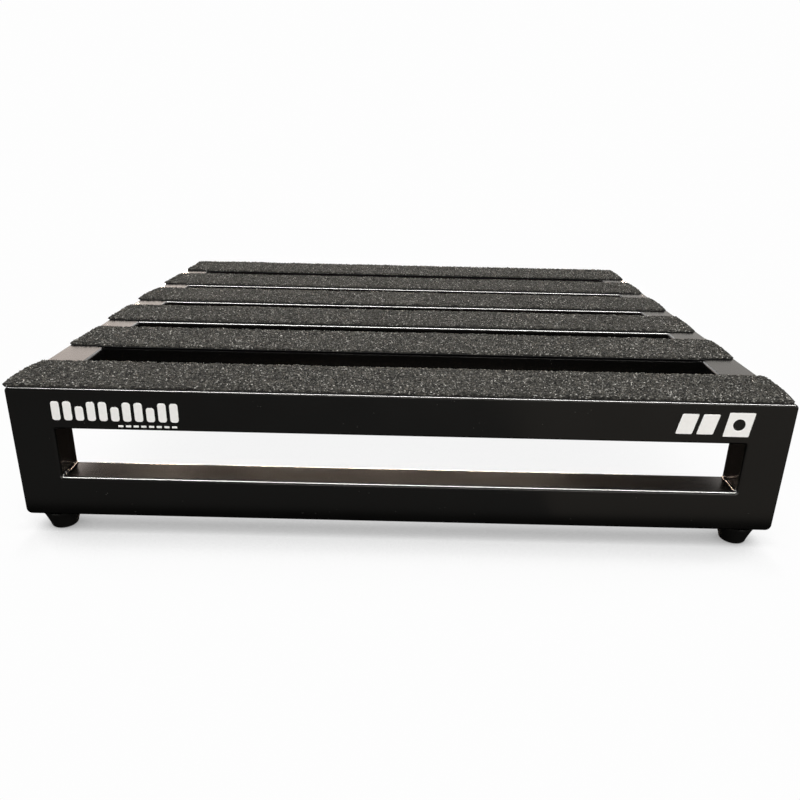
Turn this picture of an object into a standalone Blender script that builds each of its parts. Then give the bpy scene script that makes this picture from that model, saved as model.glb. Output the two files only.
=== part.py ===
"""A pedalboard: a welded, powder-coated tube frame with six slats, a loop strip
glued along each slat, and four screwed-on rubber feet.

Metres, +Z up. The origin is on the floor under the middle of the board, the
front faces -Y and the board is longest along X.
"""

import math

import bmesh
import bpy
from mathutils import Vector

# Driving dimensions.
WIDTH = 0.4572  # 18 in, left to right
DEPTH = 0.4064  # 16 in, front to back
FRAME_HEIGHT = 0.08255  # 3 1/4 in, the welded frame alone
TUBE = 0.0254  # 1 in, how high the outer tubes are, and how wide the posts and side bars
LOWER_DEPTH = 0.0230  # front to back, of the posts and bottom bars
SLAT_DEPTH = 0.0508  # 2 in, every slat of the deck
SLAT_THICKNESS = 0.0127  # 1/2 in, the four slats between the outer ones
SLATS = 6
FIRST_GAP = 0.03175  # 1 1/4 in, behind the front slat
WALL = 0.0016
EDGE_RADIUS = 0.0018
BORE_EDGE_RADIUS = 0.0006
CLEARANCE = 0.0003  # between pieces that touch

CAP_THICKNESS = 0.004
CAP_TOP_RADIUS = 0.0024
CAP_FOOT_RADIUS = 0.0034

WELD_LEG = 0.0026
WELD_HOLLOW = 0.72  # how far a bead's face dips towards its corner, as a share of the leg

STRIP_WIDTH = 0.0490
STRIP_THICKNESS = 0.0024
STRIP_END_INSET = 0.0005
STRIP_EDGE_RADIUS = 0.0009
STRIP_SETBACK = 0.0015  # bare metal in front of most strips
FULL_STRIP_SETBACK = 0.0003
FULL_STRIPS = (2, 6)  # slats whose strip reaches the front edge

FOOT_HEIGHT = 0.0125  # from the floor to the underside of the frame
FOOT_TOP_RADIUS = 0.0114
FOOT_BASE_RADIUS = 0.0080
FOOT_BASE_ROUND = 0.0016
FOOT_RIM_HEIGHT = 0.0012  # straight rim under the frame
FOOT_RIM_CHAMFER = 0.0006
FOOT_INSET_X = 0.0172  # foot centre to the side of the frame
BOLT_RADIUS = 0.0025
BOLT_HEAD_RADIUS = 0.0044
BOLT_HEAD_HEIGHT = 0.0028
BOLT_LENGTH = 0.0175
BOLT_CHAMFER = 0.0006
BOLT_HEAD_CHAMFER = 0.0008
BOLT_HEAD_Z = 0.0012  # the head's outer face, above the floor
SOCKET_RADIUS = 0.0017
SOCKET_DEPTH = 0.0016
RECESS_RADIUS = 0.0054
WASHER_RADIUS = 0.0050
WASHER_THICKNESS = 0.0010
NUT_FLANGE_RADIUS = 0.0050
NUT_FLANGE_THICKNESS = 0.0008
NUT_BODY_RADIUS = 0.0036
NUT_LENGTH = 0.0105

# Heights and places that follow from them.
FRAME_BOTTOM = FOOT_HEIGHT
FRAME_TOP = FRAME_BOTTOM + FRAME_HEIGHT
BAR_TOP = FRAME_BOTTOM + TUBE
DECK_UNDERSIDE = FRAME_TOP - TUBE
HALF_WIDTH = WIDTH / 2
FRONT = -DEPTH / 2
SIDE_X = HALF_WIDTH - TUBE / 2
LOWER_Y = (DEPTH - LOWER_DEPTH) / 2  # the middle of the posts, bottom bars and feet
OTHER_GAP = (DEPTH - SLATS * SLAT_DEPTH - FIRST_GAP) / (SLATS - 2)
SIDES = (("left", -1), ("right", 1))
ENDS = (("front", -1), ("rear", 1))

TURN_STEPS = 24
CORNER_STEPS = 3
SMOOTH_BELOW = math.radians(35)
SAME_PLACE = 1e-6


def slat_front(number):
    """Y of the front edge of slat 1 to 6, counted from the front."""
    gaps = 0.0 if number == 1 else FIRST_GAP + (number - 2) * OTHER_GAP
    return FRONT + (number - 1) * SLAT_DEPTH + gaps


def clear_scene():
    for obj in list(bpy.data.objects):
        bpy.data.objects.remove(obj, do_unlink=True)


def material(name, colour, roughness, metallic=0.0):
    made = bpy.data.materials.new(name)
    made.use_nodes = True
    shader = made.node_tree.nodes["Principled BSDF"]
    shader.inputs["Base Color"].default_value = (*colour, 1.0)
    shader.inputs["Roughness"].default_value = roughness
    shader.inputs["Metallic"].default_value = metallic
    return made


def placed(name, bm, finish, location=(0, 0, 0), rotation=(0, 0, 0)):
    """The finished bmesh as a named object, shaded smooth over its round stretches."""
    bmesh.ops.recalc_face_normals(bm, faces=bm.faces)
    mesh = bpy.data.meshes.new(name)
    bm.to_mesh(mesh)
    bm.free()
    mesh.materials.append(finish)
    mesh.shade_smooth()
    mesh.set_sharp_from_angle(angle=SMOOTH_BELOW)
    obj = bpy.data.objects.new(name, mesh)
    obj.location = location
    obj.rotation_euler = rotation
    bpy.context.scene.collection.objects.link(obj)
    return obj


def rounded_rectangle(width, height, radius):
    """Corner arcs of a rectangle centred on the origin, anticlockwise."""
    points = []
    for quarter, (sx, sy) in enumerate(((1, 1), (-1, 1), (-1, -1), (1, -1))):
        centre = Vector((sx * (width / 2 - radius), sy * (height / 2 - radius)))
        for step in range(CORNER_STEPS + 1):
            angle = (quarter + step / CORNER_STEPS) * math.pi / 2
            points.append(centre + radius * Vector((math.cos(angle), math.sin(angle))))
    return points


def tube_mesh(width, height, length):
    """An open-ended rectangular tube along X, width across Y and height along Z."""
    bm = bmesh.new()
    outer = rounded_rectangle(width, height, EDGE_RADIUS)
    inner = rounded_rectangle(width - 2 * WALL, height - 2 * WALL, BORE_EDGE_RADIUS)
    count = len(outer)
    rings = []
    for outline in (outer, inner):
        for x in (-length / 2, length / 2):
            rings.append([bm.verts.new((x, y, z)) for y, z in outline])
    outer_near, outer_far, inner_near, inner_far = rings
    for near, far in ((outer_near, outer_far), (inner_near, inner_far),
                      (outer_near, inner_near), (outer_far, inner_far)):
        for i in range(count):
            j = (i + 1) % count
            bm.faces.new((near[i], near[j], far[j], far[i]))
    return bm


def prism(outline, length):
    """A closed outline in the XZ plane pushed along Y, centred on Y = 0."""
    bm = bmesh.new()
    base = bm.faces.new([bm.verts.new((x, -length / 2, z)) for x, z in outline])
    pushed = bmesh.ops.extrude_face_region(bm, geom=[base])
    moved = [item for item in pushed["geom"] if isinstance(item, bmesh.types.BMVert)]
    bmesh.ops.translate(bm, verts=moved, vec=(0, length, 0))
    return bm


def turned(profile):
    """A profile of (radius, height) points spun about the Z axis."""
    bm = bmesh.new()
    verts = [bm.verts.new((radius, 0, height)) for radius, height in profile]
    on_axis = profile[0][0] == 0 and profile[-1][0] == 0
    last = len(verts) - 1 if on_axis else len(verts)
    edges = [bm.edges.new((verts[i], verts[(i + 1) % len(verts)])) for i in range(last)]
    bmesh.ops.spin(bm, geom=verts + edges, cent=(0, 0, 0), axis=(0, 0, 1),
                   angle=2 * math.pi, steps=TURN_STEPS, use_merge=True)
    bmesh.ops.remove_doubles(bm, verts=bm.verts, dist=SAME_PLACE)
    return bm


def cutter(name, bm, location=(0, 0, 0)):
    """A helper solid that a Boolean takes away."""
    bmesh.ops.recalc_face_normals(bm, faces=bm.faces)
    mesh = bpy.data.meshes.new(name)
    bm.to_mesh(mesh)
    bm.free()
    obj = bpy.data.objects.new(name, mesh)
    obj.location = location
    obj.hide_render = True
    obj.display_type = "WIRE"
    bpy.context.scene.collection.objects.link(obj)
    return obj


def cut(obj, tool):
    boolean = obj.modifiers.new(tool.name, "BOOLEAN")
    boolean.operation = "DIFFERENCE"
    boolean.solver = "EXACT"
    boolean.object = tool


def foot_places():
    """Name, X and Y of each foot."""
    for end, along_y in ENDS:
        for side, along_x in SIDES:
            x = along_x * (HALF_WIDTH - FOOT_INSET_X)
            yield f"{end}_{side}", x, along_y * LOWER_Y


def make_deck(coat):
    """The front and rear slats are as thick as the square tube, the others are thin."""
    outer_length = WIDTH - 2 * (CAP_THICKNESS + CLEARANCE)
    inner_length = WIDTH - 2 * (TUBE + CLEARANCE)
    names = {1: "front_rail", SLATS: "rear_rail"}
    for number in range(1, SLATS + 1):
        outermost = number in names
        height = TUBE if outermost else SLAT_THICKNESS
        length = outer_length if outermost else inner_length
        bm = tube_mesh(SLAT_DEPTH, height, length)
        centre = (0, slat_front(number) + SLAT_DEPTH / 2, FRAME_TOP - height / 2)
        placed(names.get(number, f"slat_{number}"), bm, coat, centre)


def make_side_bars(coat):
    length = DEPTH - 2 * (SLAT_DEPTH + CLEARANCE)
    for side, along_x in SIDES:
        bm = tube_mesh(TUBE, TUBE, length)
        centre = (along_x * SIDE_X, 0, FRAME_TOP - TUBE / 2)
        placed(f"{side}_side_bar", bm, coat, centre, (0, 0, math.pi / 2))


def make_posts(coat):
    length = DECK_UNDERSIDE - BAR_TOP - 2 * CLEARANCE
    for end, along_y in ENDS:
        for side, along_x in SIDES:
            bm = tube_mesh(LOWER_DEPTH, TUBE, length)
            centre = (along_x * SIDE_X, along_y * LOWER_Y, (BAR_TOP + DECK_UNDERSIDE) / 2)
            placed(f"{end}_{side}_post", bm, coat, centre, (0, math.pi / 2, 0))


def make_bottom_bars(coat):
    """Each bar carries two feet, so its lower wall has a hole for each foot's nut."""
    length = WIDTH - 2 * (CAP_THICKNESS + CLEARANCE)
    bars = {}
    for end, along_y in ENDS:
        bm = tube_mesh(LOWER_DEPTH, TUBE, length)
        centre = (0, along_y * LOWER_Y, FRAME_BOTTOM + TUBE / 2)
        bars[end] = placed(f"{end}_bottom_bar", bm, coat, centre)
    for place, x, y in foot_places():
        bm = bmesh.new()
        radius = NUT_BODY_RADIUS + CLEARANCE
        bmesh.ops.create_cone(bm, cap_ends=True, segments=TURN_STEPS, radius1=radius,
                              radius2=radius, depth=4 * WALL)
        tool = cutter(f"{place}_nut_hole", bm, (x, y, FRAME_BOTTOM + WALL / 2))
        cut(bars[place.split("_")[0]], tool)


def cap_outline(height, bottom_radius, top_radius, direction):
    """Front view of a cap: square against the tube, rounded at the outer corners."""
    points = [(0, height), (0, 0)]
    corners = ((bottom_radius, bottom_radius, -1), (height - top_radius, top_radius, 0))
    for z, radius, quarter in corners:
        for step in range(CORNER_STEPS + 2):
            angle = (quarter + step / (CORNER_STEPS + 1)) * math.pi / 2
            x = CAP_THICKNESS - radius + radius * math.cos(angle)
            points.append((direction * x, z + radius * math.sin(angle)))
    return [(x - direction * CAP_THICKNESS, z) for x, z in points]


def end_cap(name, depth, bottom_radius, top_radius, direction, corner, coat):
    """A plate welded over an open tube end, its outer edges dressed round."""
    bm = prism(cap_outline(TUBE, bottom_radius, top_radius, direction), depth)
    inner_x = -direction * CAP_THICKNESS
    outline = []
    for edge in bm.edges:
        along = edge.verts[1].co - edge.verts[0].co
        against_tube = all(abs(v.co.x - inner_x) < SAME_PLACE for v in edge.verts)
        if abs(along.y) < SAME_PLACE and not against_tube:
            outline.append(edge)
    bmesh.ops.bevel(bm, geom=outline, offset=EDGE_RADIUS, segments=CORNER_STEPS,
                    profile=0.5, affect="EDGES", clamp_overlap=True)
    placed(name, bm, coat, corner)


def make_end_caps(coat):
    for end, along_y in ENDS:
        for side, direction in SIDES:
            x = direction * HALF_WIDTH
            rail_y = along_y * (DEPTH / 2 - SLAT_DEPTH / 2)
            end_cap(f"{end}_rail_{side}_cap", SLAT_DEPTH, CAP_TOP_RADIUS, CAP_TOP_RADIUS,
                    direction, (x, rail_y, DECK_UNDERSIDE), coat)
            end_cap(f"{end}_bar_{side}_cap", LOWER_DEPTH, CAP_FOOT_RADIUS, CAP_TOP_RADIUS,
                    direction, (x, along_y * LOWER_Y, FRAME_BOTTOM), coat)


def fillet_outline(leg, along_x, along_z):
    """A corner bead: two flat legs and a hollow face, seen along Y."""
    points = [(0, 0)]
    for step in range(CORNER_STEPS + 2):
        angle = step / (CORNER_STEPS + 1) * math.pi / 2
        x = leg * (1 - WELD_HOLLOW * math.sin(angle))
        z = leg * (1 - WELD_HOLLOW * math.cos(angle))
        points.append((along_x * x, along_z * z))
    points.insert(1, (along_x * leg, 0))
    points.append((0, along_z * leg))
    return points


def make_window_welds(coat):
    """A bead in each corner of the front and rear windows, across the post's face."""
    length = LOWER_DEPTH - 2 * EDGE_RADIUS
    heights = (("lower", BAR_TOP + CLEARANCE, 1), ("upper", DECK_UNDERSIDE - CLEARANCE, -1))
    for end, along_y in ENDS:
        for side, along_x in SIDES:
            for level, z, up in heights:
                bm = prism(fillet_outline(WELD_LEG, -along_x, up), length)
                x = along_x * (HALF_WIDTH - TUBE - CLEARANCE)
                placed(f"{end}_{side}_{level}_weld", bm, coat, (x, along_y * LOWER_Y, z))


def make_loop_strips(pile):
    """One strip glued along each slat, over the side bars to the outer faces."""
    length = WIDTH - 2 * STRIP_END_INSET
    for number in range(1, SLATS + 1):
        setback = FULL_STRIP_SETBACK if number in FULL_STRIPS else STRIP_SETBACK
        bm = bmesh.new()
        bmesh.ops.create_cube(bm, size=1)
        bmesh.ops.scale(bm, verts=bm.verts, vec=(length, STRIP_WIDTH, STRIP_THICKNESS))
        rim = [e for e in bm.edges if all(v.co.z > 0 for v in e.verts)]
        bmesh.ops.bevel(bm, geom=rim, offset=STRIP_EDGE_RADIUS, segments=CORNER_STEPS,
                        profile=0.5, affect="EDGES", clamp_overlap=True)
        y = slat_front(number) + setback + STRIP_WIDTH / 2
        z = FRAME_TOP + CLEARANCE + STRIP_THICKNESS / 2
        placed(f"loop_strip_{number}", bm, pile, (0, y, z))


def foot_profile():
    """A tapered foot with a rounded base, a recess below and one for the nut above."""
    top = FOOT_HEIGHT - CLEARANCE
    bore = BOLT_RADIUS + CLEARANCE
    seat = BOLT_HEAD_Z + BOLT_HEAD_HEIGHT + WASHER_THICKNESS + 2 * CLEARANCE
    nut_seat = top - NUT_FLANGE_THICKNESS - CLEARANCE
    points = [(bore, nut_seat), (bore, seat), (RECESS_RADIUS, seat), (RECESS_RADIUS, 0)]
    round_centre = FOOT_BASE_RADIUS - FOOT_BASE_ROUND
    for step in range(CORNER_STEPS + 2):
        angle = (step / (CORNER_STEPS + 1) - 1) * math.pi / 2
        radius = round_centre + FOOT_BASE_ROUND * math.cos(angle)
        points.append((radius, FOOT_BASE_ROUND * (1 + math.sin(angle))))
    flange = NUT_FLANGE_RADIUS + CLEARANCE
    rim = top - FOOT_RIM_HEIGHT
    points.append((FOOT_TOP_RADIUS - FOOT_RIM_CHAMFER, rim - FOOT_RIM_CHAMFER))
    points.append((FOOT_TOP_RADIUS, rim))
    points.append((FOOT_TOP_RADIUS, top))
    points.append((flange, top))
    points.append((flange, nut_seat))
    return points


def bolt_profile():
    """A chamfered-head screw, head down, its height measured from the head's outer face."""
    points = [(0, 0), (BOLT_HEAD_RADIUS - BOLT_HEAD_CHAMFER, 0)]
    points.append((BOLT_HEAD_RADIUS, BOLT_HEAD_CHAMFER))
    points.append((BOLT_HEAD_RADIUS, BOLT_HEAD_HEIGHT))
    points.append((BOLT_RADIUS, BOLT_HEAD_HEIGHT))
    points.append((BOLT_RADIUS, BOLT_LENGTH - BOLT_CHAMFER))
    points.append((BOLT_RADIUS - BOLT_CHAMFER, BOLT_LENGTH))
    points.append((0, BOLT_LENGTH))
    return points


def ring_profile(inner, outer, bottom, top):
    return [(inner, bottom), (outer, bottom), (outer, top), (inner, top)]


def nut_profile():
    """A rivet nut: a flange under the bar's wall and a body inside the tube."""
    bore = BOLT_RADIUS + CLEARANCE
    bottom = FOOT_HEIGHT - CLEARANCE - NUT_FLANGE_THICKNESS
    seat = FOOT_HEIGHT - CLEARANCE
    points = [(bore, bottom), (NUT_FLANGE_RADIUS, bottom), (NUT_FLANGE_RADIUS, seat)]
    points.append((NUT_BODY_RADIUS, seat))
    points.append((NUT_BODY_RADIUS, bottom + NUT_LENGTH))
    points.append((bore, bottom + NUT_LENGTH))
    return points


def make_feet(rubber, zinc):
    washer_z = BOLT_HEAD_Z + BOLT_HEAD_HEIGHT + CLEARANCE
    washer = ring_profile(BOLT_RADIUS + CLEARANCE, WASHER_RADIUS, washer_z,
                          washer_z + WASHER_THICKNESS)
    for place, x, y in foot_places():
        placed(f"{place}_foot", turned(foot_profile()), rubber, (x, y, 0))
        bolt = placed(f"{place}_screw", turned(bolt_profile()), zinc, (x, y, BOLT_HEAD_Z))
        placed(f"{place}_washer", turned(washer), zinc, (x, y, 0))
        placed(f"{place}_rivet_nut", turned(nut_profile()), zinc, (x, y, 0))
        bm = bmesh.new()
        bmesh.ops.create_cone(bm, cap_ends=True, segments=6, radius1=SOCKET_RADIUS,
                              radius2=SOCKET_RADIUS, depth=2 * SOCKET_DEPTH)
        cut(bolt, cutter(f"{place}_screw_socket", bm, (x, y, BOLT_HEAD_Z)))


def main():
    clear_scene()
    coat = material("black_powder_coat", (0.012, 0.012, 0.011), 0.38)
    pile = material("loop_pile", (0.045, 0.045, 0.043), 0.95)
    rubber = material("black_rubber", (0.010, 0.010, 0.010), 0.75)
    zinc = material("zinc_plate", (0.62, 0.62, 0.60), 0.35, 1.0)
    make_deck(coat)
    make_side_bars(coat)
    make_posts(coat)
    make_bottom_bars(coat)
    make_end_caps(coat)
    make_window_welds(coat)
    make_loop_strips(pile)
    make_feet(rubber, zinc)


main()
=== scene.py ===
"""The looks of a pedalboard: a welded, powder-coated tube frame, loop strips with
a looped pile, rubber feet and zinc-plated screws, on a plain pale floor."""
import math

import bmesh
import bpy
import numpy as np
from mathutils import Matrix, Vector

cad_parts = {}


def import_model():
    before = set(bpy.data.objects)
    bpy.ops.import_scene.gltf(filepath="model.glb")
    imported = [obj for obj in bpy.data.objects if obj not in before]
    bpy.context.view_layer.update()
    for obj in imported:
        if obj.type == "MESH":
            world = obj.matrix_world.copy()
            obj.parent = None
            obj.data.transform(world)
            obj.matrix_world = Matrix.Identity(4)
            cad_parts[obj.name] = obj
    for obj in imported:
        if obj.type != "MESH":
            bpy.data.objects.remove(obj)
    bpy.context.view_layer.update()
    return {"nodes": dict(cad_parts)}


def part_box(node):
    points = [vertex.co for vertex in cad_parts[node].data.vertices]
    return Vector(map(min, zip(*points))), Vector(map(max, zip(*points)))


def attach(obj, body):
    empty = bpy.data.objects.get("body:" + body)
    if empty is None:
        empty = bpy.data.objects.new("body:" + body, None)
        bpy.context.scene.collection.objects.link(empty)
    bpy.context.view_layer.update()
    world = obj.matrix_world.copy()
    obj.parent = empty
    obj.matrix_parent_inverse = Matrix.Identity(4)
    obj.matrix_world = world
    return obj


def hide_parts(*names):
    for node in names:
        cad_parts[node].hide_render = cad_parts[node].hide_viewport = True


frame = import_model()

BODY = "root"
MM = 0.001
SIDES = (("left", -1), ("right", 1))
ENDS = (("front", -1), ("rear", 1))
SLATS = 6
THIN_SLATS = range(2, SLATS)

# Sizes that only the looks need, in metres: the frame.
EDGE_RADIUS = 0.0018  # of the tubes' long edges
OUTLINE_RADIUS = 0.0011  # of the edges round the outside of an end frame
CAP_TOP_RADIUS = 0.0024  # of an end frame's upper corners
CAP_FOOT_RADIUS = 0.0034  # of its lower corners
WINDOW_FILLET = 0.0012
BURIED = 0.0010  # how far a welded tube runs into its neighbour
SINK = 0.00005  # how far a rail's body lies below the end frame's own surface
QUARTER_STEPS = 6
BEVEL_STEPS = 5
SAME_PLACE = 1e-6

# Weld beads.
BEAD_RADIUS = 0.0015
BEAD_STEP = 0.0016  # from one ripple to the next
BEAD_SIDES = 12
RINGS_PER_RIPPLE = 5
FEWEST_RINGS = 8
RIPPLE_DEPTH = 0.20  # how much thinner a bead is between two ripples
BEAD_VARIATION = 0.06
BEAD_END_RADIUS = 1e-5
BEAD_TAPER = 10  # the higher, the blunter the ends
WINDOW_BEAD_INSET = 0.0012  # from the faces of the tube to the ends of its beads
SLAT_BEAD_INSET = 0.004
BAR_BEAD_INSET = 0.003
BAR_BEAD_SEED = 7

# Loop strips.
PILE_CELL = 0.00068
PILE_HEIGHT = 0.00175
PILE_EDGE_HEIGHT = 0.0007
PILE_EDGE = 0.0032  # how far in from its edge the pile reaches its full height
PILE_CORNER = 0.0042
CORNER_SHARE = 0.75  # how far a corner is cut back, as a share of a quarter circle
PILE_GRAIN = 0.00024  # how far single points of the pile lie above or below it
TUFT_HEIGHT, TUFT_CELLS = 0.00028, 2
WAVE_HEIGHT, WAVE_CELLS = 0.00016, 22
PILE_SCATTER = 0.00016  # how far single points lie to the side of their place
CALM_EDGE, CALM_SHARE = 0.0008, 0.3  # where the roughness falls off, and to what share
BACKING_THICKNESS = 0.0004
BACKING_MARGIN = 0.0006
BACKING_CELL = 0.004
DRAW_RAMP = 0.006  # how far along x a front edge takes to draw back
STRIP_SEED = 100
LOOPS_PER_STRIP = 7000
LOOP_BENDS, LOOP_SIDES = 5, 3
LOOP_SPANS = (0.0003, 0.0008)
LOOP_RISES = (0.0002, 0.0007)
LOOP_RADII = (0.00009, 0.00017)
LOOP_LEAN = 0.0003
LOOP_FRONT_MARGIN = 0.0002  # from the long edges of a strip
LOOP_END_MARGIN = 0.0012  # from its ends

# Feet.
FOOT_STEPS = 64
FOOT_BORE = 0.0028
FOOT_BASE = 0.0080
BASE_ROUNDING = 0.0018
RECESS_GAP = 0.0004  # round the washer
RECESS_CHAMFER = 0.0003
SEAT_GAP = 0.0002  # over the washer
FLANK_STEPS = 5
FLANK_CURVE = 0.92
RIM_STEP = 0.0005  # how far the rim stands out from the flank
RIM_FOOT = 0.0022  # where the flank ends, below the top
RIM_HEIGHT = 0.0014

# Printed marks.
PRINT_HEIGHT = 0.00006
PRINT_STEPS = 4  # round each corner
MARKS_BASE = 0.0058  # above the window
BARS = 11
BARS_LEFT = 0.0257  # from the side of the frame
BAR_WIDTH, BAR_PITCH, BAR_ROUND = 0.0048, 0.0069, 0.0015
BAR_HEIGHT, BAR_HEIGHT_CHANGE = 0.0108, 0.0020
BAR_TURN, BAR_START = 2.1, 0.5  # of the wave that the bars' heights follow, in radians
BLOCKS = 8
BLOCKS_LEFT = 0.038  # from the first bar
BLOCKS_DROP = 0.0036  # below the bars
BLOCK_WIDTH, BLOCK_HEIGHT, BLOCK_PITCH, BLOCK_ROUND = 0.0030, 0.0012, 0.0045, 0.0003
SLABS = 2
SLABS_RIGHT = 0.0685  # from the side of the frame
SLABS_LIFT = 0.0003
SLAB_WIDTH, SLAB_HEIGHT, SLAB_PITCH, SLAB_ROUND = 0.0096, 0.0125, 0.0122, 0.0008
SLAB_SLANT = 0.22
BADGE_RIGHT = 0.0408  # from the side of the frame
BADGE_DROP = 0.0009
BADGE, BADGE_ROUND, BADGE_SLANT = 0.0150, 0.0006, 0.13
HOLE_RADIUS, HOLE_SIDES = 0.0036, 24

# The strips were cut and laid by hand: how much of each one's front and rear edges was cut
# off, how far its front edge draws back over the side bars, how far its left and right ends
# bulge at the middle, and how far they lie beyond the CAD strip's at the left rear, left
# front, right rear and right front, all in millimetres.
FRONT_TRIMS = (0, 0.2, 1.8, 1.7, 1.6, 0.1)
FRONT_DRAWS = (0, 2.8, 0.8, 0.6, 0.6, 1.8)
REAR_TRIMS = (2.4, 1.0, 1.4, 1.0, 1.6, 0)
STRIP_BULGES = ((1.8, 1.8), (-0.6, 1.3), (0.1, 1.1), (1.2, 1.6), (-0.3, 1.0), (-0.3, 0.6))
STRIP_ENDS = ((1.4, 2.6, 2.5, -1.4), (-0.6, 0.9, 0.1, -1.1), (0.9, 1.7, -1.1, -1.9),
              (-1.6, 2.0, -1.2, -1.9), (-1.2, 1.1, -1.9, -1.9), (-2.1, -1.6, -1.5, -1.5))

# The camera, fitted to the board's edges.
CAMERA_PLACE = (0.00132, -0.58844, 0.23993)
CAMERA_HEADING, CAMERA_PITCH, CAMERA_ROLL = (math.radians(a) for a in (0.25, 20.9, 1.21))
LENS, SENSOR = 32.3055, 36.0  # millimetres
NEAREST, FARTHEST = 0.01, 100

# The surroundings.
BACKDROP = 0.985  # how bright the floor and the backdrop look
HIDDEN_WORLD = 0.045  # how bright the backdrop is for the board itself
HIDDEN_FLOOR = 0.001  # how pale the floor is for the board itself
FLOOR_REACH = 8.0
SHADE_SAMPLES = 8
# Two painted shadows on the floor: the reach of each, openness from and to, and level from and
# to.
CONTACT_SHADE = (0.075, 0.25, 0.72, 0.38, BACKDROP)
WIDE_SHADE = (0.18, 0.1, 0.7, 0.86, 1.0)
FLOOR_CARD_Y, FLOOR_CARD_HEIGHT = 0.44, 0.004


def low_high(node):
    low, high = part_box(node)
    return Vector(low), Vector(high)


RAIL_LOW, RAIL_HIGH = low_high("front_rail")
BAR_LOW, BAR_HIGH = low_high("front_bottom_bar")
SIDE_LOW, SIDE_HIGH = low_high("left_side_bar")
HALF_WIDTH = -SIDE_LOW.x
HALF_DEPTH = -RAIL_LOW.y
TUBE = SIDE_HIGH.x - SIDE_LOW.x
SLAT_DEPTH = RAIL_HIGH.y - RAIL_LOW.y
LOWER_DEPTH = BAR_HIGH.y - BAR_LOW.y
FRAME_BOTTOM, BAR_TOP = BAR_LOW.z, BAR_HIGH.z
DECK_UNDERSIDE, FRAME_TOP = RAIL_LOW.z, RAIL_HIGH.z


# ---------------------------------------------------------------- materials

class Finish:
    """A material with one Principled shader, and short ways to add nodes to it."""

    def __init__(self, name, colour, roughness, metallic=0.0, specular=0.5):
        self.material = bpy.data.materials.new(name)
        self.material.use_nodes = True
        self.tree = self.material.node_tree
        self.shader = self.tree.nodes["Principled BSDF"]
        self.set("Base Color", colour)
        self.set("Roughness", roughness)
        self.set("Metallic", metallic)
        self.set("Specular IOR Level", specular)
        self.place = self.node("ShaderNodeTexCoord").outputs["Object"]

    def set(self, socket, value):
        self.shader.inputs[socket].default_value = value

    def node(self, kind, **inputs):
        """A new node; each input is named as its socket is, with _ for a space."""
        made = self.tree.nodes.new(kind)
        for name, value in inputs.items():
            self.feed(made.inputs[name.replace("_", " ")], value)
        return made

    def feed(self, socket, value):
        """Links the value to the socket if it is another node's output, or else sets it."""
        if isinstance(value, bpy.types.NodeSocket):
            self.tree.links.new(value, socket)
        else:
            socket.default_value = value

    def noise(self, scale, detail=2.0, roughness=0.5):
        made = self.node("ShaderNodeTexNoise", Vector=self.place, Scale=scale,
                         Detail=detail, Roughness=roughness)
        return made.outputs["Fac"]

    def cells(self, scale):
        """The distance from the middle of the nearest cell of about 1 / scale metres."""
        made = self.node("ShaderNodeTexVoronoi", Vector=self.place, Scale=scale)
        return made.outputs["Distance"]

    def random_cells(self, scale):
        """A number from 0 to 1 for each cell of about 1 / scale metres."""
        made = self.node("ShaderNodeTexVoronoi", Vector=self.place, Scale=scale)
        apart = self.node("ShaderNodeSeparateColor", Color=made.outputs["Color"])
        return apart.outputs["Red"]

    def spread(self, value, low, high, to_low, to_high):
        """The value, with low to high stretched to to_low to to_high."""
        made = self.node("ShaderNodeMapRange", Value=value, From_Min=low, From_Max=high,
                         To_Min=to_low, To_Max=to_high)
        return made.outputs["Result"]

    def ramp(self, value, *stops):
        """The colour that the stops, each a place and a colour, give for the value."""
        made = self.node("ShaderNodeValToRGB", Fac=value)
        marks = made.color_ramp.elements
        while len(marks) < len(stops):
            marks.new(1.0)
        for mark, (where, colour) in zip(marks, stops):
            mark.position = where
            mark.color = colour
        return made.outputs["Color"]

    def mix(self, share, first, second):
        made = self.tree.nodes.new("ShaderNodeMix")
        made.data_type = "RGBA"
        self.feed(made.inputs["Factor"], share)
        # A Mix node has sockets for every kind of data, and these are its colours.
        self.feed(made.inputs[6], first)
        self.feed(made.inputs[7], second)
        return made.outputs[2]

    def maths(self, operation, first, second):
        made = self.tree.nodes.new("ShaderNodeMath")
        made.operation = operation
        self.feed(made.inputs[0], first)
        self.feed(made.inputs[1], second)
        return made.outputs[0]

    def link(self, socket, value):
        self.feed(self.shader.inputs[socket], value)

    def bump(self, height, distance, strength=1.0):
        made = self.node("ShaderNodeBump", Height=height, Distance=distance,
                         Strength=strength)
        self.link("Normal", made.outputs["Normal"])


def grey(value, warmth=0.0):
    """An opaque grey. Warmth adds some red and takes away three times as much blue."""
    return (value * (1 + 0.5 * warmth), value, value * (1 - 1.5 * warmth), 1.0)


def powder_coat():
    """Satin black coat: orange peel, uneven sheen, a few pale specks of dust."""
    coat = Finish("powder_coat", grey(0.002), 0.33, specular=0.75)
    tone = coat.mix(coat.noise(9, 3), grey(0.0004, 0.03), grey(0.0009, 0.10))
    speck = coat.maths("LESS_THAN", coat.cells(330), 0.075)
    patch = coat.maths("GREATER_THAN", coat.noise(70, 1), 0.62)
    dust = coat.maths("MULTIPLY", speck, patch)
    coat.link("Base Color", coat.mix(dust, tone, grey(0.05, 0.05)))
    coat.link("Roughness", coat.spread(coat.noise(38, 3), 0.15, 0.85, 0.215, 0.255))
    coat.bump(coat.noise(1500, 2, 0.45), 0.00006, 0.22)
    return coat.material


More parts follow.
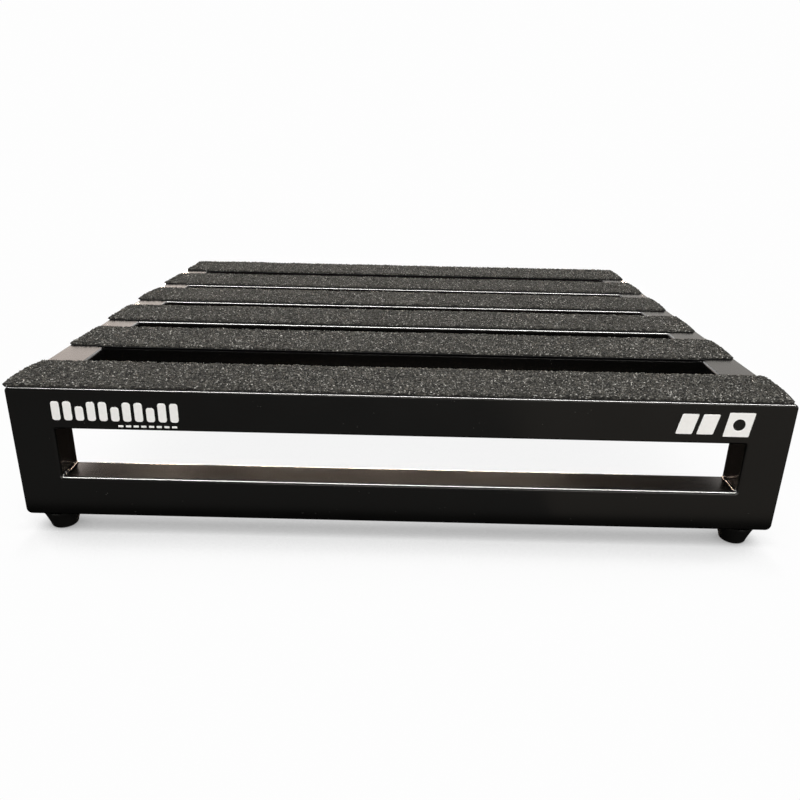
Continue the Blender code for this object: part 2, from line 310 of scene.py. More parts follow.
def loop_pile():
    """Matted black nylon loops: each grain has its own random shade, partly the nylon's own tone
    and partly painted shade between the fibres and painted glints on them.
    """
    pile = Finish("loop_pile", grey(0.012), 0.85, specular=0.08)
    # The darkest stops are painted shade between the fibres and the palest are painted glints;
    # the stops between are the nylon's own random tone.
    grain = pile.ramp(pile.random_cells(1250), (0.0, grey(0.0001, 0.09)),
                      (0.28, grey(0.0014, 0.09)), (0.60, grey(0.010, 0.09)),
                      (0.92, grey(0.029, 0.09)), (1.0, grey(0.14, 0.03)))
    broad = pile.spread(pile.noise(60, 3), 0.3, 0.7, 0.0, 0.2)
    pile.link("Base Color", pile.mix(broad, grain, grey(0.006)))
    pile.set("Sheen Weight", 0.02)
    pile.set("Sheen Roughness", 0.5)
    pile.bump(pile.noise(1400, 3, 0.7), 0.0006)
    return pile.material


def nylon_fibre():
    """The single loops that stand above the pile, each of its own random shade; the palest few
    are painted glints.
    """
    fibre = Finish("nylon_fibre", grey(0.02), 0.55, specular=0.15)
    # The palest stops are painted glints on a few loops.
    tone = fibre.ramp(fibre.random_cells(1000), (0.0, grey(0.0002, 0.09)),
                      (0.38, grey(0.0040, 0.09)), (0.75, grey(0.024, 0.09)),
                      (0.93, grey(0.105, 0.03)), (1.0, grey(0.45, 0.03)))
    fibre.link("Base Color", tone)
    return fibre.material


def woven_backing():
    """The dark woven backing, seen only as a thin line along the cut edges."""
    backing = Finish("woven_backing", grey(0.003), 0.8, specular=0.1)
    tone = backing.mix(backing.noise(700, 2), grey(0.001), grey(0.005))
    backing.link("Base Color", tone)
    backing.bump(backing.noise(1800, 1), 0.0001)
    return backing.material


def rubber():
    """Moulded black rubber with a fine matt grain."""
    foot = Finish("foot_rubber", grey(0.003), 0.7, specular=0.25)
    tone = foot.mix(foot.noise(160, 3), grey(0.006), grey(0.016, 0.03))
    foot.link("Base Color", tone)
    foot.link("Roughness", foot.spread(foot.noise(240, 3), 0.3, 0.7, 0.58, 0.82))
    foot.bump(foot.noise(2600, 2), 0.00008, 0.5)
    return foot.material


def zinc_plate():
    """Bright zinc with a clouded passivation."""
    zinc = Finish("zinc_plate", grey(0.6), 0.3, metallic=1.0)
    tone = zinc.mix(zinc.noise(300, 3), grey(0.50, 0.03), grey(0.70, 0.01))
    zinc.link("Base Color", tone)
    zinc.link("Roughness", zinc.spread(zinc.noise(700, 3), 0.3, 0.7, 0.22, 0.42))
    zinc.bump(zinc.noise(4000, 1), 0.00003, 0.4)
    return zinc.material


def white_print():
    """Screen-printed white ink, a little uneven."""
    ink = Finish("white_print", grey(0.9), 0.45)
    ink.link("Base Color", ink.mix(ink.noise(500, 3), grey(0.84), grey(0.95)))
    ink.link("Roughness", ink.spread(ink.noise(200, 2), 0.3, 0.7, 0.38, 0.55))
    return ink.material


# ------------------------------------------------------------------- pieces

def piece(name, bm, finish, nodes=(), smooth_below=40, weighted=False):
    """The finished bmesh as a piece that rides on the board."""
    # Moved points leave old normals behind, which could turn every face inward.
    bm.normal_update()
    bmesh.ops.recalc_face_normals(bm, faces=bm.faces)
    mesh = bpy.data.meshes.new(name)
    bm.to_mesh(mesh)
    bm.free()
    piece_of_mesh(mesh, finish, nodes, smooth_below, weighted)


def piece_of_mesh(mesh, finish, nodes=(), smooth_below=40, weighted=False):
    """The mesh as a piece that rides on the board and stands for these CAD nodes.

    Edges that turn by more than smooth_below degrees stay sharp, and weighted keeps the
    flat faces flat where a rounded edge meets them.
    """
    mesh.materials.append(finish)
    mesh.shade_smooth()
    mesh.set_sharp_from_angle(angle=math.radians(smooth_below))
    obj = bpy.data.objects.new(mesh.name, mesh)
    bpy.context.scene.collection.objects.link(obj)
    if weighted:
        obj.modifiers.new("weighted", "WEIGHTED_NORMAL").keep_sharp = True
    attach(obj, BODY)
    if nodes:
        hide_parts(*nodes)
    return obj


def add_box(bm, low, high):
    """Adds a box between two corners, and gives its vertices."""
    made = bmesh.ops.create_cube(bm, size=1)["verts"]
    for vert in made:
        vert.co = Vector((lo + (c + 0.5) * (hi - lo) for lo, hi, c in zip(low, high, vert.co)))
    return made


def round_edges(bm, edges, radius, segments):
    bmesh.ops.bevel(bm, geom=edges, offset=radius, segments=segments, profile=0.5,
                    affect="EDGES", clamp_overlap=False)


def quarter():
    """Angles from 0 to 90 degrees."""
    return [math.pi / 2 * k / QUARTER_STEPS for k in range(QUARTER_STEPS + 1)]


def rounded_rectangle(low, high, foot_radius, top_radius):
    """Points round a rectangle, as (x, z), from its lower right corner."""
    corners = ((high[0], low[1], foot_radius, 0), (high[0], high[1], top_radius, 1),
               (low[0], high[1], top_radius, 2), (low[0], low[1], foot_radius, 3))
    points = []
    for x, z, radius, turn in corners:
        centre_x = x - math.copysign(radius, x)
        centre_z = z + radius if z == low[1] else z - radius
        for a in quarter():
            angle = a + (turn - 1) * math.pi / 2
            points.append((centre_x + radius * math.cos(angle),
                           centre_z + radius * math.sin(angle)))
    return points


def across_tube(radius):
    """(inset, y) of points across a face of the tube, from one rounded edge to the other."""
    near = [(radius * (1 - math.sin(a)), radius * (1 - math.cos(a))) for a in quarter()]
    return near + [(inset, LOWER_DEPTH - y) for inset, y in reversed(near)]


def ladder(bm):
    """Rail front, posts and bottom bar as one ring with a window, its edges rounded."""
    window = HALF_WIDTH - TUBE
    rings = []
    for inset, y in across_tube(OUTLINE_RADIUS):
        outline = rounded_rectangle((inset - HALF_WIDTH, FRAME_BOTTOM + inset),
                                    (HALF_WIDTH - inset, FRAME_TOP - inset),
                                    CAP_FOOT_RADIUS - inset, CAP_TOP_RADIUS - inset)
        rings.append([bm.verts.new((x, y, z)) for x, z in outline])
    for inset, y in reversed(across_tube(EDGE_RADIUS)):
        outline = rounded_rectangle((-window - inset, BAR_TOP - inset),
                                    (window + inset, DECK_UNDERSIDE + inset),
                                    WINDOW_FILLET + inset, WINDOW_FILLET + inset)
        rings.append([bm.verts.new((x, y, z)) for x, z in outline])
    count = len(rings[0])
    for i, ring in enumerate(rings):
        last = rings[i - 1]
        for j in range(count):
            bm.faces.new((last[j - 1], last[j], ring[j], ring[j - 1]))


def rail_body(bm):
    """The rail behind the ladder's front, sunk a hair below the ladder's own surface."""
    low = Vector((SINK - HALF_WIDTH, EDGE_RADIUS, DECK_UNDERSIDE + SINK))
    high = Vector((HALF_WIDTH - SINK, SLAT_DEPTH, FRAME_TOP - SINK))
    corners = add_box(bm, low, high)
    top_ends = [e for e in bm.edges
                if all(v in corners and v.co.z == high.z for v in e.verts)
                and e.verts[0].co.y != e.verts[1].co.y]
    round_edges(bm, top_ends, CAP_TOP_RADIUS, BEVEL_STEPS)
    rear = [e for e in bm.edges
            if all(abs(v.co.y - SLAT_DEPTH) < SAME_PLACE for v in e.verts)]
    round_edges(bm, rear, EDGE_RADIUS, QUARTER_STEPS)


def end_frame(end, direction, coat):
    """Rail, posts, bottom bar and caps of one end, welded and dressed into one body."""
    bm = bmesh.new()
    ladder(bm)
    rail_body(bm)
    for vert in bm.verts:
        vert.co.y = direction * (HALF_DEPTH - vert.co.y)
    nodes = [f"{end}_rail", f"{end}_bottom_bar"]
    for side, _ in SIDES:
        nodes += [f"{end}_{side}_post", f"{end}_rail_{side}_cap", f"{end}_bar_{side}_cap"]
    piece(f"{end}_end_frame", bm, coat, nodes, weighted=True)


def tube(name, node, axis, coat):
    """A round-edged bar where its CAD tube lies, its ends run into the neighbours."""
    low, high = low_high(node)
    low[axis] -= BURIED
    high[axis] += BURIED
    length = (high - low)[axis]
    bm = bmesh.new()
    add_box(bm, low, high)
    lengthwise = [edge for edge in bm.edges
                  if abs(abs((edge.verts[0].co - edge.verts[1].co)[axis]) - length) < SAME_PLACE]
    round_edges(bm, lengthwise, EDGE_RADIUS, BEVEL_STEPS)
    piece(name, bm, coat, (node,), weighted=True)


def bead(name, start, end, coat, nodes=(), seed=0):
    """A weld bead: a round seam whose ripples lie one over the other."""
    rng = np.random.default_rng(seed)
    start, end = Vector(start), Vector(end)
    along = (end - start).normalized()
    side = along.orthogonal().normalized()
    up = along.cross(side)
    length = (end - start).length
    rings = max(FEWEST_RINGS, round(length / BEAD_STEP * RINGS_PER_RIPPLE))
    turns = [2 * math.pi * k / BEAD_SIDES for k in range(BEAD_SIDES)]
    bm = bmesh.new()
    last = None
    for i in range(rings + 1):
        t = i / rings
        ripple = (t * length / BEAD_STEP) % 1.0
        taper = math.sqrt(max(0.0, 1 - (2 * t - 1) ** BEAD_TAPER))
        fullness = 1 - RIPPLE_DEPTH + RIPPLE_DEPTH * math.sin(math.pi * ripple)
        size = BEAD_RADIUS * taper * fullness
        size = max(size * (1 + BEAD_VARIATION * rng.standard_normal()), BEAD_END_RADIUS)
        centre = start + along * (t * length)
        ring = [bm.verts.new(centre + size * (math.cos(a) * side + math.sin(a) * up))
                for a in turns]
        if last:
            for k in range(BEAD_SIDES):
                after = (k + 1) % BEAD_SIDES
                bm.faces.new((last[k], last[after], ring[after], ring[k]))
        else:
            bm.faces.new(ring[::-1])
        last = ring
    bm.faces.new(last)
    piece(name, bm, coat, nodes, smooth_below=60)


def window_beads(coat):
    """A bead across each inner corner of the two end windows."""
    for end, direction in ENDS:
        for side, across in SIDES:
            for level, z in (("lower", BAR_TOP), ("upper", DECK_UNDERSIDE)):
                x = across * (HALF_WIDTH - TUBE)
                near = (x, direction * (HALF_DEPTH - WINDOW_BEAD_INSET), z)
                far = (x, direction * (HALF_DEPTH - LOWER_DEPTH + WINDOW_BEAD_INSET), z)
                name = f"{end}_{side}_{level}"
                bead(f"{name}_bead", near, far, coat, nodes=(f"{name}_weld",),
                     seed=seed_of(name))


def seed_of(name):
    """A number for the name, the same in every run."""
    return sum((i + 1) * ord(letter) for i, letter in enumerate(name))


def under_beads(coat):
    """Beads under the deck, where slats meet side bars and side bars meet rails."""
    for side, across in SIDES:
        x = across * (HALF_WIDTH - TUBE)
        for number in THIN_SLATS:
            low, high = low_high(f"slat_{number}")
            bead(f"slat_{number}_{side}_bead", (x, low.y + SLAT_BEAD_INSET, low.z),
                 (x, high.y - SLAT_BEAD_INSET, low.z), coat, seed=number)
        for end, direction in ENDS:
            y = direction * (HALF_DEPTH - SLAT_DEPTH)
            bead(f"{end}_{side}_bar_bead", (x + across * BAR_BEAD_INSET, y, DECK_UNDERSIDE),
                 (x + across * (TUBE - BAR_BEAD_INSET), y, DECK_UNDERSIDE), coat,
                 seed=BAR_BEAD_SEED)


def value_noise(rng, shape, cell):
    """Smooth noise of zero mean on a grid, from random values a cell apart."""
    coarse = rng.standard_normal((shape[0] // cell + 3, shape[1] // cell + 3))
    u = np.arange(shape[0]) / cell
    v = np.arange(shape[1]) / cell
    i, j = u.astype(int), v.astype(int)
    fu, fv = (u - i)[:, None], (v - j)[None, :]
    a, b = coarse[np.ix_(i, j)], coarse[np.ix_(i + 1, j)]
    c, d = coarse[np.ix_(i, j + 1)], coarse[np.ix_(i + 1, j + 1)]
    return (a * (1 - fu) + b * fu) * (1 - fv) + (c * (1 - fu) + d * fu) * fv


class Strip:
    """The outline of one strip: straight cut edges, uneven ends and rounded corners."""

    def __init__(self, number, low, high):
        beyond = (MM * e for e in STRIP_ENDS[number - 1])
        left_rear, left_front, right_rear, right_front = beyond
        self.low, self.high = low.copy(), high.copy()
        self.low.y += MM * FRONT_TRIMS[number - 1]
        self.high.y -= MM * REAR_TRIMS[number - 1]
        self.left_bulge, self.right_bulge = (MM * b for b in STRIP_BULGES[number - 1])
        self.draw = MM * FRONT_DRAWS[number - 1]
        self.left = (low.x - left_front, low.x - left_rear)
        self.right = (high.x + right_front, high.x + right_rear)

    def ends(self, y, margin=0.0):
        """Where the strip starts and ends along x, at this y (an array)."""
        depth = (self.high.y - self.low.y) + 2 * margin
        d = np.clip(y - self.low.y + margin, 0, depth)
        t = d / depth
        corner = np.clip(1 - np.minimum(d, depth - d) / PILE_CORNER, 0, 1)
        inset = PILE_CORNER * (1 - np.sqrt(1 - corner ** 2)) * CORNER_SHARE
        swell = np.sin(math.pi * t)
        left = self.left[0] + (self.left[1] - self.left[0]) * t + inset
        right = self.right[0] + (self.right[1] - self.right[0]) * t - inset
        return (left - self.left_bulge * swell - margin,
                right + self.right_bulge * swell + margin)

    def drawn(self, x, y):
        """y once the front edge has drawn back over the side bars."""
        over_bar = np.clip((np.abs(x) - (HALF_WIDTH - TUBE)) / DRAW_RAMP, 0, 1)
        from_rear = (self.high.y - y) / (self.high.y - self.low.y)
        return y + self.draw * over_bar * from_rear

    def edge(self, x, y):
        """The distance from the nearest edge."""
        left, right = self.ends(y)
        across = np.minimum(y - self.low.y, self.high.y - y)
        return np.minimum(across, np.minimum(x - left, right - x))


def closed_sheet(name, top, floor_z):
    """A mesh from a grid of points, with walls down to a flat underside."""
    shape = top.shape[:2]
    points = top.reshape(-1, 3)
    index = np.arange(len(points)).reshape(shape)
    quads = np.stack([index[:-1, :-1], index[1:, :-1], index[1:, 1:], index[:-1, 1:]],
                     axis=-1).reshape(-1, 4)
    rim = np.concatenate([index[:, 0], index[-1, 1:], index[-2::-1, -1], index[0, -2:0:-1]])
    foot = points[rim].copy()
    foot[:, 2] = floor_z
    below = len(points) + np.arange(len(rim))
    walls = np.stack([rim, below, np.roll(below, -1), np.roll(rim, -1)], axis=-1)
    mesh = bpy.data.meshes.new(name)
    faces = quads.tolist() + walls.tolist() + [below[::-1].tolist()]
    mesh.from_pydata(np.concatenate([points, foot]).tolist(), [], faces)
    return mesh


def sheet_grid(strip, cell, margin=0.0):
    """Even points over the strip's outline, as arrays of x and y."""
    length = strip.high.x - strip.low.x
    width = strip.high.y - strip.low.y + 2 * margin
    across = np.linspace(0, 1, round(width / cell) + 1)[None, :]
    along = np.linspace(0, 1, round(length / cell) + 1)[:, None]
    y = strip.low.y - margin + across * width
    left, right = strip.ends(y, margin)
    return np.broadcast_arrays(left + (right - left) * along, y)


def pile_height(edge):
    """How high the pile stands this far from its edge, rising to full height in an arc."""
    crown = np.sqrt(np.clip(1 - (1 - np.clip(edge / PILE_EDGE, 0, 1)) ** 2, 0, 1))
    return PILE_EDGE_HEIGHT + (PILE_HEIGHT - PILE_EDGE_HEIGHT) * crown


def pile_mesh(name, strip, rng):
    """A rough, matted pile, thinner at its edges."""
    x, y = sheet_grid(strip, PILE_CELL)
    edge = strip.edge(x, y)
    rough = PILE_GRAIN * rng.standard_normal(x.shape)
    rough += TUFT_HEIGHT * value_noise(rng, x.shape, TUFT_CELLS)
    rough += WAVE_HEIGHT * value_noise(rng, x.shape, WAVE_CELLS)
    height = pile_height(edge) + rough * np.clip(edge / CALM_EDGE, CALM_SHARE, 1)
    y = strip.drawn(x, y)
    x = x + PILE_SCATTER * rng.standard_normal(x.shape)
    y = y + PILE_SCATTER * rng.standard_normal(x.shape)
    return closed_sheet(name, np.stack([x, y, strip.low.z + height], axis=-1),
                        strip.low.z + 0.5 * BACKING_THICKNESS)


def backing_mesh(name, strip):
    """The woven backing with its adhesive, a little wider than the pile."""
    x, y = sheet_grid(strip, BACKING_CELL, BACKING_MARGIN)
    y = strip.drawn(x, y)
    z = np.full(x.shape, strip.low.z + BACKING_THICKNESS)
    return closed_sheet(name, np.stack([x, y, z], axis=-1), strip.low.z)


def loops_mesh(name, strip, rng):
    """Single nylon loops that stand out of the pile, each a small closed arch."""
    count = LOOPS_PER_STRIP
    y = rng.uniform(strip.low.y + LOOP_FRONT_MARGIN, strip.high.y - LOOP_FRONT_MARGIN, count)
    left, right = strip.ends(y)
    x = left + LOOP_END_MARGIN
    x += (right - left - 2 * LOOP_END_MARGIN) * rng.uniform(0, 1, count)
    ground = strip.low.z + pile_height(strip.edge(x, y))
    y = strip.drawn(x, y)
    heading = rng.uniform(0, 2 * math.pi, count)
    span = rng.uniform(*LOOP_SPANS, count)
    rise = rng.uniform(*LOOP_RISES, count)
    lean = rng.normal(0, LOOP_LEAN, count)
    radius = rng.uniform(*LOOP_RADII, count)
    along = np.stack([np.cos(heading), np.sin(heading), np.zeros(count)], axis=-1)
    across = np.stack([-np.sin(heading), np.cos(heading), np.zeros(count)], axis=-1)
    up = np.array([0.0, 0.0, 1.0])
    points = []
    for k in range(LOOP_BENDS):
        turn = math.pi * k / (LOOP_BENDS - 1)
        centre = np.stack([x, y, ground], axis=-1)
        centre += along * (-0.5 * span * math.cos(turn))[:, None]
        centre += up * (rise * math.sin(turn))[:, None]
        centre += across * (lean * math.sin(turn))[:, None]
        outward = along * -math.cos(turn) + up * math.sin(turn)
        for s in range(LOOP_SIDES):
            angle = 2 * math.pi * s / LOOP_SIDES
            offset = outward * math.cos(angle) + across * math.sin(angle)
            points.append(centre + offset * radius[:, None])
    points = np.stack(points, axis=1)
    first = np.arange(count) * LOOP_BENDS * LOOP_SIDES
    faces = np.array(loop_faces())[None] + first[:, None, None]
    mesh = bpy.data.meshes.new(name)
    mesh.from_pydata(points.reshape(-1, 3).tolist(), [], faces.reshape(-1, 3).tolist())
    return mesh


def loop_faces():
    """The triangles of one loop, whose points run round each bend in turn."""
    faces = []
    for k in range(LOOP_BENDS - 1):
        for s in range(LOOP_SIDES):
            a, b = k * LOOP_SIDES + s, k * LOOP_SIDES + (s + 1) % LOOP_SIDES
            faces.append((b, a, b + LOOP_SIDES))
            faces.append((b + LOOP_SIDES, a, a + LOOP_SIDES))
    last = (LOOP_BENDS - 1) * LOOP_SIDES
    return faces + [(0, 1, 2), (last + 2, last + 1, last)]


def loop_strips(pile, fibre, backing):
    """On each slat, a sheet of pile with its single loops and its backing."""
    for number in range(1, SLATS + 1):
        node = f"loop_strip_{number}"
        low, high = low_high(node)
        low.z = FRAME_TOP
        strip = Strip(number, low, high)
        rng = np.random.default_rng(STRIP_SEED + number)
        mesh = pile_mesh(f"pile_strip_{number}", strip, rng)
        pile_piece = piece_of_mesh(mesh, pile, (node,), smooth_below=180)
        mesh = loops_mesh(f"pile_loops_{number}", strip, rng)
        loops = piece_of_mesh(mesh, fibre, smooth_below=180)
        mesh = backing_mesh(f"pile_backing_{number}", strip)
        back = piece_of_mesh(mesh, backing)


def feet(finish):
    """Moulded feet, turned where the CAD feet lie, with a softer base."""
    for end, _ in ENDS:
        for side, _ in SIDES:
            node = f"{end}_{side}_foot"
            low, high = low_high(node)
            centre = (low + high) / 2
            outline = foot_outline((high.x - low.x) / 2, high.z)
            bm = bmesh.new()
            verts = [bm.verts.new((centre.x + r, centre.y, z)) for r, z in outline]
            edges = [bm.edges.new((verts[i], verts[(i + 1) % len(verts)]))
                     for i in range(len(verts))]
            bmesh.ops.spin(bm, geom=verts + edges, cent=(centre.x, centre.y, 0),
                           axis=(0, 0, 1), angle=2 * math.pi, steps=FOOT_STEPS, use_merge=True)
            bmesh.ops.remove_doubles(bm, verts=bm.verts, dist=SAME_PLACE)
            piece(f"{node}_moulding", bm, finish, (node,), smooth_below=45)


def foot_outline(top_radius, top):
    """Radius and height, from the bore down round the recess and up the outside."""
    washer_low, washer_high = low_high("front_left_washer")
    recess = (washer_high.x - washer_low.x) / 2 + RECESS_GAP
    seat = washer_high.z + SEAT_GAP
    outline = [(FOOT_BORE, top), (FOOT_BORE, seat), (recess, seat),
               (recess, RECESS_CHAMFER), (recess + RECESS_CHAMFER, 0)]
    for k in range(QUARTER_STEPS + 1):
        angle = (k / QUARTER_STEPS - 1) * math.pi / 2
        outline.append((FOOT_BASE - BASE_ROUNDING + BASE_ROUNDING * math.cos(angle),
                        BASE_ROUNDING * (1 + math.sin(angle))))
    widening = top_radius - RIM_STEP - FOOT_BASE
    climb = top - RIM_FOOT - BASE_ROUNDING
    for k in range(1, FLANK_STEPS + 1):
        t = k / FLANK_STEPS
        outline.append((FOOT_BASE + widening * t, BASE_ROUNDING + climb * t ** FLANK_CURVE))
    return outline + [(top_radius, top - RIM_HEIGHT), (top_radius, top)]


def fasteners(zinc):
    """The screws, washers and rivet nuts are the CAD's own pieces, shown in zinc."""
    for end, _ in ENDS:
        for side, _ in SIDES:
            for kind in ("screw", "washer", "rivet_nut"):
                node = frame["nodes"][f"{end}_{side}_{kind}"]
                node.data.materials.clear()
                node.data.materials.append(zinc)


def leaning_outline(x, z, width, height, slant, radius):
    """A leaning rectangle with round corners, whose lower left corner is at x and z."""
    points = []
    for turn, (to_right, to_top) in enumerate(((1, 0), (1, 1), (0, 1), (0, 0))):
        centre_x = x + (width - radius if to_right else radius)
        centre_z = z + (height - radius if to_top else radius)
        for k in range(PRINT_STEPS + 1):
            angle = math.pi / 2 * (turn - 1 + k / PRINT_STEPS)
            px = centre_x + radius * math.cos(angle)
            pz = centre_z + radius * math.sin(angle)
            points.append((px + slant * (pz - z), pz))
    return points


def print_shape(bm, outline, hole=()):
    """Adds a printed shape to the front face, as thin as ink, with a hole if one is given."""
    near = -HALF_DEPTH - PRINT_HEIGHT
    edges = []
    for loop in filter(None, (outline, hole)):
        verts = [bm.verts.new((x, near, z)) for x, z in loop]
        edges += [bm.edges.new((verts[i - 1], verts[i])) for i in range(len(verts))]
    filled = bmesh.ops.triangle_fill(bm, edges=edges, use_beauty=True)
    faces = [item for item in filled["geom"] if isinstance(item, bmesh.types.BMFace)]
    pushed = bmesh.ops.extrude_face_region(bm, geom=faces)
    moved = [item for item in pushed["geom"] if isinstance(item, bmesh.types.BMVert)]
    bmesh.ops.translate(bm, verts=moved, vec=(0, 2 * PRINT_HEIGHT, 0))


def printed_marks(ink):
    """Plain bars and a badge where a board carries its maker's print, with no lettering."""
    low = DECK_UNDERSIDE + MARKS_BASE
    bm = bmesh.new()
    left = -HALF_WIDTH + BARS_LEFT
    for k in range(BARS):
        height = BAR_HEIGHT + BAR_HEIGHT_CHANGE * math.sin(BAR_TURN * k + BAR_START)
        print_shape(bm, leaning_outline(left + BAR_PITCH * k, low, BAR_WIDTH, height, 0.0,
                                        BAR_ROUND))
    for k in range(BLOCKS):
        x = left + BLOCKS_LEFT + BLOCK_PITCH * k
        print_shape(bm, leaning_outline(x, low - BLOCKS_DROP, BLOCK_WIDTH, BLOCK_HEIGHT, 0.0,
                                        BLOCK_ROUND))
    piece("left_print", bm, ink, smooth_below=10)
    bm = bmesh.new()
    for k in range(SLABS):
        x = HALF_WIDTH - SLABS_RIGHT + SLAB_PITCH * k
        print_shape(bm, leaning_outline(x, low + SLABS_LIFT, SLAB_WIDTH, SLAB_HEIGHT,
                                        SLAB_SLANT, SLAB_ROUND))
    x, z = HALF_WIDTH - BADGE_RIGHT, low - BADGE_DROP
    centre_x, centre_z = x + BADGE / 2 + BADGE_SLANT * BADGE / 2, z + BADGE / 2
    hole = [(centre_x + HOLE_RADIUS * math.cos(a), centre_z + HOLE_RADIUS * math.sin(a))
            for a in (2 * math.pi * k / HOLE_SIDES for k in range(HOLE_SIDES))]
    print_shape(bm, leaning_outline(x, z, BADGE, BADGE, BADGE_SLANT, BADGE_ROUND), hole)
    piece("right_print", bm, ink, smooth_below=10)


# -------------------------------------------------------------------- stage

def softbox(name, place, target, size, radiance, colour=(1, 1, 1)):
    """A glowing card that faces its target and that the camera doesn't see."""
    data = bpy.data.lights.new(name, "AREA")
    data.shape = "RECTANGLE"
    data.size, data.size_y = size
    data.energy = radiance * math.pi * size[0] * size[1]
    data.color = colour
    obj = bpy.data.objects.new(name, data)
    obj.location = place
    obj.rotation_euler = (Vector(target) - Vector(place)).to_track_quat("-Z", "Y").to_euler()
    obj.visible_camera = False
    bpy.context.scene.collection.objects.link(obj)


def floor_card(name, place, size, radiance, colour):
    """A faint card that lies just over the floor and faces up.

    It leans by a hair, so that the way its sides run is settled.
    """
    place = Vector(place)
    softbox(name, place, place + Vector((0, 0.001, 1)), size, radiance, colour)


def lights():
    """Cards above and behind the board, low cards all round it, and faint ones on the floor.

    The key light gives the lines along the front edges, the two back lights the sheen on the
    side bars, and the rear low light the sheen on the front bottom bar. The front faces
    mirror the floor cards in front of them.
    """
    softbox("key_light", (0.1, -0.40, 1.65), (0.1, -0.05, 0.05), (2.3, 0.28), 80,
            (1.0, 0.985, 0.95))
    softbox("back_left_light", (-1.25, 2.2, 0.75), (0, 0, 0.05), (1.8, 1.2), 1.8,
            (1.0, 0.88, 0.80))
    softbox("back_right_light", (1.35, 2.2, 0.75), (0, 0, 0.05), (1.6, 1.2), 0.84,
            (1.0, 0.95, 0.89))
    softbox("back_top_light", (0, 2.2, 1.2), (0, 0, 0.09), (1.3, 0.4), 3.5)
    softbox("rear_low_light", (-0.08, 1.3, 0.11), (-0.08, -0.19, 0.04), (1.32, 0.2), 100,
            (1.0, 0.80, 0.64))
    softbox("front_low_light", (0.6, -2.2, 0.2), (0, -0.2, 0.05), (2.4, 0.3), 4.6,
            (1.0, 0.96, 0.90))
    for end, direction in ENDS:
        floor_card(f"{end}_floor_light", (0, direction * FLOOR_CARD_Y, FLOOR_CARD_HEIGHT),
                   (1.3, 0.42), 0.10, (1.0, 0.98, 0.92))
    # A smaller, warmer card just over the front one lights the right part of the front face.
    floor_card("right_floor_light", (0.4, -FLOOR_CARD_Y, FLOOR_CARD_HEIGHT + 0.001),
               (0.6, 0.42), 0.09, (1.0, 0.84, 0.67))
    for side, across in SIDES:
        softbox(f"{side}_low_light", (across * 2.2, 0, 0.3), (0, 0, 0.05), (2.4, 0.4), 1.6)


def glow(nodes, links, seen, hidden):
    """A shader that is one thing to the camera and another to every other ray."""
    mix = nodes.new("ShaderNodeMixShader")
    path = nodes.new("ShaderNodeLightPath")
    links.new(path.outputs["Is Camera Ray"], mix.inputs[0])
    links.new(hidden.outputs[0], mix.inputs[1])
    links.new(seen.outputs[0], mix.inputs[2])
    return mix.outputs[0]


def background(nodes, strength):
    made = nodes.new("ShaderNodeBackground")
    made.inputs["Color"].default_value = (1, 1, 1, 1)
    made.inputs["Strength"].default_value = strength
    return made


def world():
    """A white backdrop for the camera, and a dim even light for the board."""
    made = bpy.data.worlds.new("studio")
    made.use_nodes = True
    nodes, links = made.node_tree.nodes, made.node_tree.links
    nodes.clear()
    out = nodes.new("ShaderNodeOutputWorld")
    shown = glow(nodes, links, background(nodes, BACKDROP), background(nodes, HIDDEN_WORLD))
    links.new(shown, out.inputs["Surface"])
    bpy.context.scene.world = made


def shade(nodes, links, reach, least_open, most_open, darkest, palest):
    """A level of painted shadow for each place on the floor, from how open the space within
    reach of it is.
    """
    openness = nodes.new("ShaderNodeAmbientOcclusion")
    openness.samples = SHADE_SAMPLES
    openness.inputs["Distance"].default_value = reach
    level = nodes.new("ShaderNodeMapRange")
    level.inputs["From Min"].default_value = least_open
    level.inputs["From Max"].default_value = most_open
    level.inputs["To Min"].default_value = darkest
    level.inputs["To Max"].default_value = palest
    links.new(openness.outputs["AO"], level.inputs["Value"])
    return level.outputs["Result"]


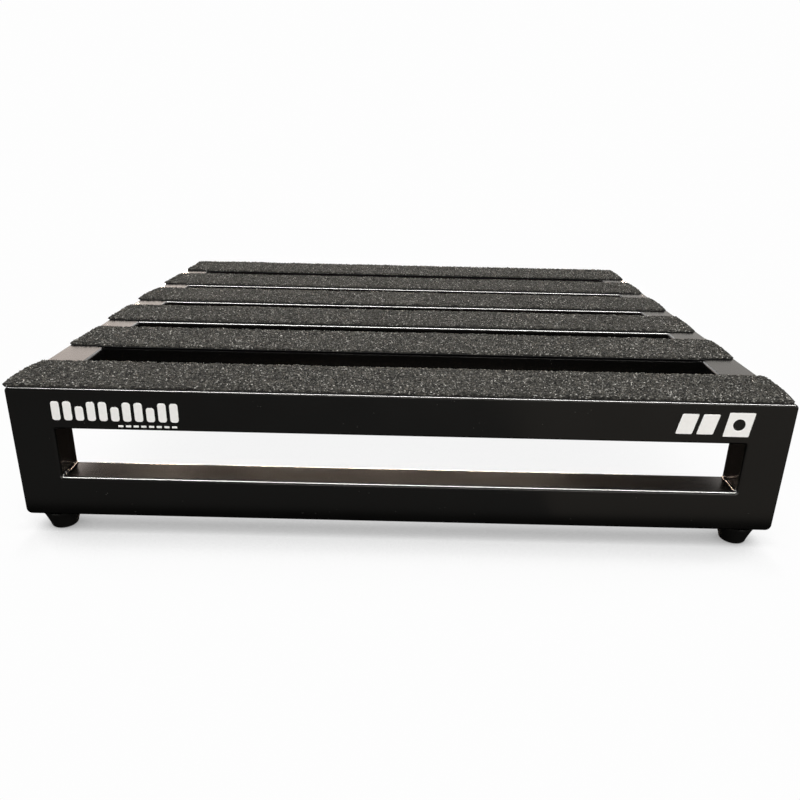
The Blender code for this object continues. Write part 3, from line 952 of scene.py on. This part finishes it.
def floor_material():
    """A glow with a painted shadow that darkens it near the board, for the camera, and near
    black for the board.
    """
    made = bpy.data.materials.new("floor")
    made.use_nodes = True
    nodes, links = made.node_tree.nodes, made.node_tree.links
    nodes.clear()
    out = nodes.new("ShaderNodeOutputMaterial")
    level = nodes.new("ShaderNodeMath")
    level.operation = "MULTIPLY"
    links.new(shade(nodes, links, *CONTACT_SHADE), level.inputs[0])
    links.new(shade(nodes, links, *WIDE_SHADE), level.inputs[1])
    lit = nodes.new("ShaderNodeEmission")
    lit.inputs["Color"].default_value = (1, 1, 1, 1)
    links.new(level.outputs[0], lit.inputs["Strength"])
    dark = nodes.new("ShaderNodeBsdfDiffuse")
    dark.inputs["Color"].default_value = grey(HIDDEN_FLOOR)
    links.new(glow(nodes, links, lit, dark), out.inputs["Surface"])
    return made


def floor():
    """A pale floor that glows towards the camera, with a painted shadow near the board, and
    hardly lights the board.

    It is one triangle, so that no seam between two triangles shows as a line across it.
    """
    mesh = bpy.data.meshes.new("floor")
    corners = [(2 * FLOOR_REACH * math.sin(turn), 2 * FLOOR_REACH * math.cos(turn), 0)
               for turn in (0, -2 * math.pi / 3, 2 * math.pi / 3)]
    mesh.from_pydata(corners, [], [(0, 1, 2)])
    mesh.materials.append(floor_material())
    obj = bpy.data.objects.new("floor", mesh)
    bpy.context.scene.collection.objects.link(obj)


def camera():
    data = bpy.data.cameras.new("camera")
    data.sensor_width = SENSOR
    data.lens = LENS
    data.clip_start, data.clip_end = NEAREST, FARTHEST
    obj = bpy.data.objects.new("camera", data)
    turn = Matrix.Rotation(CAMERA_HEADING, 4, "Z")
    turn @= Matrix.Rotation(math.pi / 2 - CAMERA_PITCH, 4, "X")
    turn @= Matrix.Rotation(CAMERA_ROLL, 4, "Z")
    obj.matrix_world = Matrix.Translation(CAMERA_PLACE) @ turn
    bpy.context.scene.collection.objects.link(obj)
    bpy.context.scene.camera = obj


def build():
    camera()
    world()
    floor()
    lights()
    bpy.context.scene.view_settings.view_transform = "Standard"
    coat = powder_coat()
    for end, direction in ENDS:
        end_frame(end, direction, coat)
    for side, _ in SIDES:
        tube(f"{side}_side_tube", f"{side}_side_bar", 1, coat)
    for number in THIN_SLATS:
        tube(f"slat_{number}_tube", f"slat_{number}", 0, coat)
    window_beads(coat)
    under_beads(coat)
    loop_strips(loop_pile(), nylon_fibre(), woven_backing())
    feet(rubber())
    fasteners(zinc_plate())
    printed_marks(white_print())


build()
